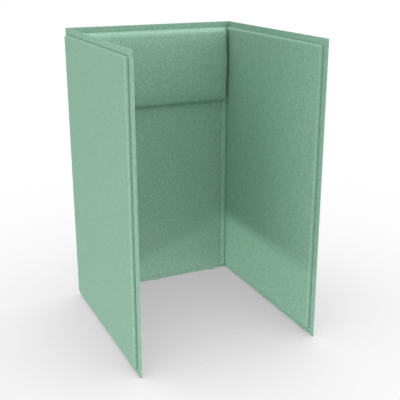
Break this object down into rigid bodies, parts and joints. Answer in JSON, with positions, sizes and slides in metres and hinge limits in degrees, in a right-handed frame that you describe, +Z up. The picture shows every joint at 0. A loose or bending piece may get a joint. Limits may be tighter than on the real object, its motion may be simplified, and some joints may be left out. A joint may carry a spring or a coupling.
{
  "type": "partition screen",
  "caption": "Free-standing acoustic privacy screen: thin fabric-wrapped boards set in a U, padded on both faces, with a headrest cushion high on the inside.",
  "frame": {"origin": "middle of the footprint at floor level, under the centre of the overall box", "axes": "+Z up, the open side faces -Y, the left panel stands on -X and the right panel on +X"},
  "size_m": [1.172, 1.216, 1.8],
  "materials": {
    "core_fabric": "flat woven wool blend, sage melange",
    "pad_fabric": "flat woven wool blend, sage melange",
    "core_laminate": "thin compact board, sanded",
    "pad_board": "hardboard, smooth",
    "pad_foam": "open-cell acoustic foam",
    "cushion_foam": "soft open-cell foam",
    "stud_plastic": "moulded nylon",
    "glide_nylon": "moulded nylon",
    "zinc_steel": "zinc plated",
    "insert_brass": "turned, knurled",
    "spacer_aluminium": "cut tube"
  },
  "bodies": {
    "root": {"left_core_board": "core_laminate", "left_core_cover": "core_fabric", "left_glides": "glide_nylon", "left_outer_pad_board": "pad_board", "left_outer_pad_foam": "pad_foam", "left_outer_pad_cover": "pad_fabric", "left_outer_pad_studs": "stud_plastic", "left_inner_pad_board": "pad_board", "left_inner_pad_foam": "pad_foam", "left_inner_pad_cover": "pad_fabric", "left_inner_pad_studs": "stud_plastic", "back_core_board": "core_laminate", "back_core_cover": "core_fabric", "back_glides": "glide_nylon", "back_outer_pad_board": "pad_board", "back_outer_pad_foam": "pad_foam", "back_outer_pad_cover": "pad_fabric", "back_outer_pad_studs": "stud_plastic", "back_inner_pad_board": "pad_board", "back_inner_pad_foam": "pad_foam", "back_inner_pad_cover": "pad_fabric", "back_inner_pad_studs": "stud_plastic", "right_core_board": "core_laminate", "right_core_cover": "core_fabric", "right_glides": "glide_nylon", "right_outer_pad_board": "pad_board", "right_outer_pad_foam": "pad_foam", "right_outer_pad_cover": "pad_fabric", "right_outer_pad_studs": "stud_plastic", "right_inner_pad_board": "pad_board", "right_inner_pad_foam": "pad_foam", "right_inner_pad_cover": "pad_fabric", "right_inner_pad_studs": "stud_plastic", "left_corner_brackets": "zinc_steel", "left_corner_screws": "zinc_steel", "left_corner_inserts": "insert_brass", "right_corner_brackets": "zinc_steel", "right_corner_screws": "zinc_steel", "right_corner_inserts": "insert_brass", "cushion_board": "pad_board", "cushion_foam": "cushion_foam", "cushion_cover": "pad_fabric", "cushion_tee_nuts": "zinc_steel", "cushion_spacers": "spacer_aluminium", "cushion_bolts": "zinc_steel"}
  },
  "joints": []
}
